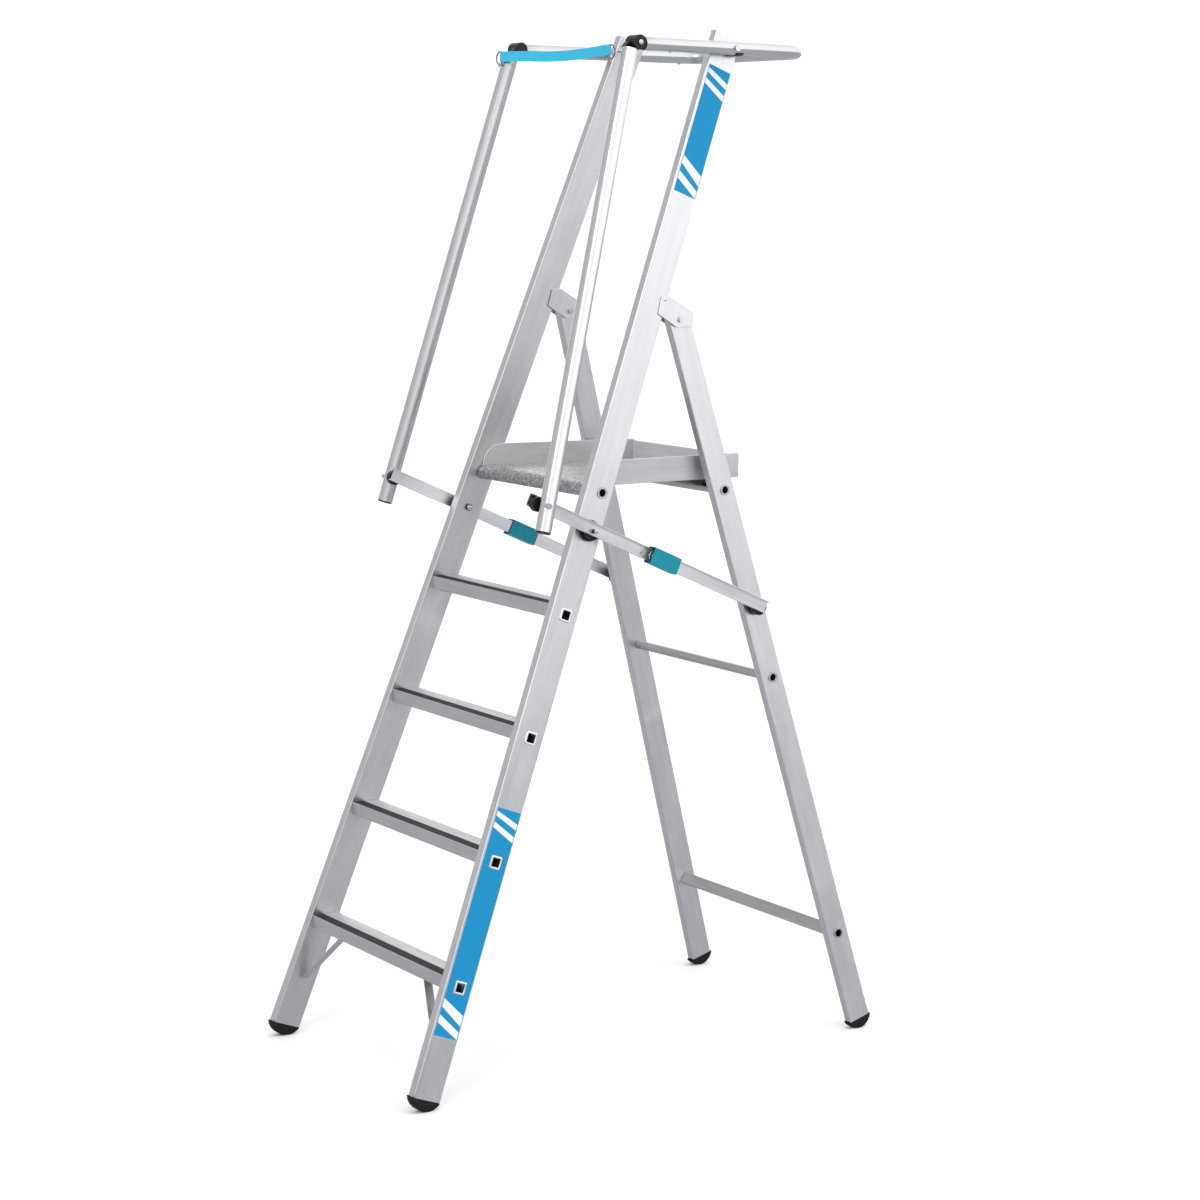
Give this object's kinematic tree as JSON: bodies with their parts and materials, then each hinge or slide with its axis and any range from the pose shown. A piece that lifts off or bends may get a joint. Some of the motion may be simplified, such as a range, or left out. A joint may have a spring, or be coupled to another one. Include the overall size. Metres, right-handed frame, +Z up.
{
  "type": "platform step ladder",
  "caption": "Folding aluminium platform step ladder with flat treads, a tip-up platform, a high guard rail on posts, lockable spreader bars and a webbing strap.",
  "frame": {"origin": "centre of the bounding box at floor level, the ladder standing open", "axes": "+Z up, -Y towards the climber at the front, X across the treads"},
  "size_m": [0.7496, 1.3091, 2.4126],
  "materials": {
    "satin_aluminium": "satin, drawn",
    "ribbed_aluminium": "ribbed, drawn",
    "chequered_aluminium": "chequered plate",
    "zinc_steel": "zinc plated",
    "black_plastic": "moulded",
    "black_rubber": "ribbed",
    "grey_plastic": "moulded",
    "teal_plastic": "moulded",
    "blue_webbing": "woven"
  },
  "bodies": {
    "front_frame": {"front_cross_tube": "satin_aluminium", "front_foot_left": "black_rubber", "front_foot_right": "black_rubber", "hinge_bracket_left": "satin_aluminium", "hinge_bracket_right": "satin_aluminium", "leg_pivot_bolt_left": "zinc_steel", "leg_pivot_bolt_right": "zinc_steel", "rail_pivot_bolt_left": "zinc_steel", "rail_pivot_bolt_right": "zinc_steel", "spreader_pivot_left": "grey_plastic", "spreader_pivot_right": "grey_plastic", "step_1": "ribbed_aluminium", "step_1_grip": "black_rubber", "step_2": "ribbed_aluminium", "step_2_grip": "black_rubber", "step_3": "ribbed_aluminium", "step_3_grip": "black_rubber", "step_4": "ribbed_aluminium", "step_4_grip": "black_rubber", "step_brace_left": "satin_aluminium", "step_brace_right": "satin_aluminium", "stile_left": "satin_aluminium", "stile_right": "satin_aluminium"},
    "rear_frame": {"rear_bottom_bar": "satin_aluminium", "rear_foot_left": "black_rubber", "rear_foot_right": "black_rubber", "rear_leg_left": "satin_aluminium", "rear_leg_right": "satin_aluminium", "rear_middle_tube": "satin_aluminium", "rear_spacer_left": "black_plastic", "rear_spacer_right": "black_plastic", "rear_top_tube": "satin_aluminium"},
    "platform": {"platform_deck": "chequered_aluminium", "platform_hook_left": "black_plastic", "platform_hook_right": "black_plastic", "platform_side_left": "satin_aluminium", "platform_side_right": "satin_aluminium", "platform_toe_board": "satin_aluminium"},
    "guard_rail": {"guard_rail": "satin_aluminium", "rail_knuckle_left": "black_plastic", "rail_knuckle_right": "black_plastic"},
    "post_left": {"post_end_plug_left": "black_plastic", "post_knuckle_left": "black_plastic", "post_left": "satin_aluminium", "safety_strap": "blue_webbing", "strap_ring_left": "zinc_steel", "strap_ring_right": "zinc_steel"},
    "post_right": {"post_end_plug_right": "black_plastic", "post_knuckle_right": "black_plastic", "post_right": "satin_aluminium"},
    "spreader_front_left": {"post_pivot_plug_left": "black_plastic", "spreader_front_left": "satin_aluminium"},
    "spreader_front_right": {"post_pivot_plug_right": "black_plastic", "spreader_front_right": "satin_aluminium"},
    "spreader_rear_left": {"elbow_rivet_left": "zinc_steel", "spreader_rear_left": "satin_aluminium"},
    "spreader_rear_right": {"elbow_rivet_right": "zinc_steel", "spreader_rear_right": "satin_aluminium"},
    "lock_sleeve_left": {"lock_sleeve_left": "teal_plastic"},
    "lock_sleeve_right": {"lock_sleeve_right": "teal_plastic"}
  },
  "joints": [
    {"name": "rear_frame_fold", "type": "hinge", "parent": "front_frame", "child": "rear_frame", "pos_m": [0, 0.112, 1.747], "axis": [-1, 0, 0], "range_deg": [0, 36.8]},
    {"name": "platform_tip", "type": "hinge", "parent": "front_frame", "child": "platform", "pos_m": [0, -0.1132, 1.3567], "axis": [1, 0, 0], "range_deg": [0, 69.7]},
    {"name": "guard_rail_fold", "type": "hinge", "parent": "front_frame", "child": "guard_rail", "pos_m": [0, 0.26, 2.3705], "axis": [1, 0, 0], "range_deg": [0, 54.71]},
    {"name": "post_swing_left", "type": "hinge", "parent": "guard_rail", "child": "post_left", "pos_m": [-0.2515, -0.0263, 2.3716], "axis": [-1, 0, 0], "range_deg": [0, 58.82]},
    {"name": "spreader_front_swing_left", "type": "hinge", "parent": "front_frame", "child": "spreader_front_left", "pos_m": [-0.3, -0.1542, 1.2738], "axis": [1, 0, 0], "range_deg": [0, 72.38]},
    {"name": "spreader_elbow_left", "type": "hinge", "parent": "spreader_front_left", "child": "spreader_rear_left", "pos_m": [-0.307, 0.00788, 1.20769], "axis": [-1, 0, 0], "range_deg": [0, 153.36]},
    {"name": "lock_sleeve_slide_left", "type": "slide", "parent": "spreader_rear_left", "child": "lock_sleeve_left", "axis": [0, 0.9171, -0.3987], "range_m": [0, 0.1]},
    {"name": "post_swing_right", "type": "hinge", "parent": "guard_rail", "child": "post_right", "pos_m": [0.2515, -0.0263, 2.3716], "axis": [-1, 0, 0], "range_deg": [0, 58.82]},
    {"name": "spreader_front_swing_right", "type": "hinge", "parent": "front_frame", "child": "spreader_front_right", "pos_m": [0.3, -0.1542, 1.2738], "axis": [1, 0, 0], "range_deg": [0, 72.38]},
    {"name": "spreader_elbow_right", "type": "hinge", "parent": "spreader_front_right", "child": "spreader_rear_right", "pos_m": [0.307, 0.00788, 1.20769], "axis": [-1, 0, 0], "range_deg": [0, 153.36]},
    {"name": "lock_sleeve_slide_right", "type": "slide", "parent": "spreader_rear_right", "child": "lock_sleeve_right", "axis": [0, 0.9171, -0.3987], "range_m": [0, 0.1]}
  ],
  "couplings": [
    {"joint": "platform_tip", "follows": "rear_frame_fold", "ratio": 1.894},
    {"joint": "guard_rail_fold", "follows": "rear_frame_fold", "ratio": 1.4867},
    {"joint": "post_swing_left", "follows": "rear_frame_fold", "ratio": 1.5984},
    {"joint": "spreader_front_swing_left", "follows": "rear_frame_fold", "ratio": 1.9668},
    {"joint": "spreader_elbow_left", "follows": "rear_frame_fold", "ratio": 4.1674},
    {"joint": "lock_sleeve_slide_left", "follows": "rear_frame_fold", "m_per_rad": 0.1557},
    {"joint": "post_swing_right", "follows": "rear_frame_fold", "ratio": 1.5984},
    {"joint": "spreader_front_swing_right", "follows": "rear_frame_fold", "ratio": 1.9668},
    {"joint": "spreader_elbow_right", "follows": "rear_frame_fold", "ratio": 4.1674},
    {"joint": "lock_sleeve_slide_right", "follows": "rear_frame_fold", "m_per_rad": 0.1557}
  ]
}
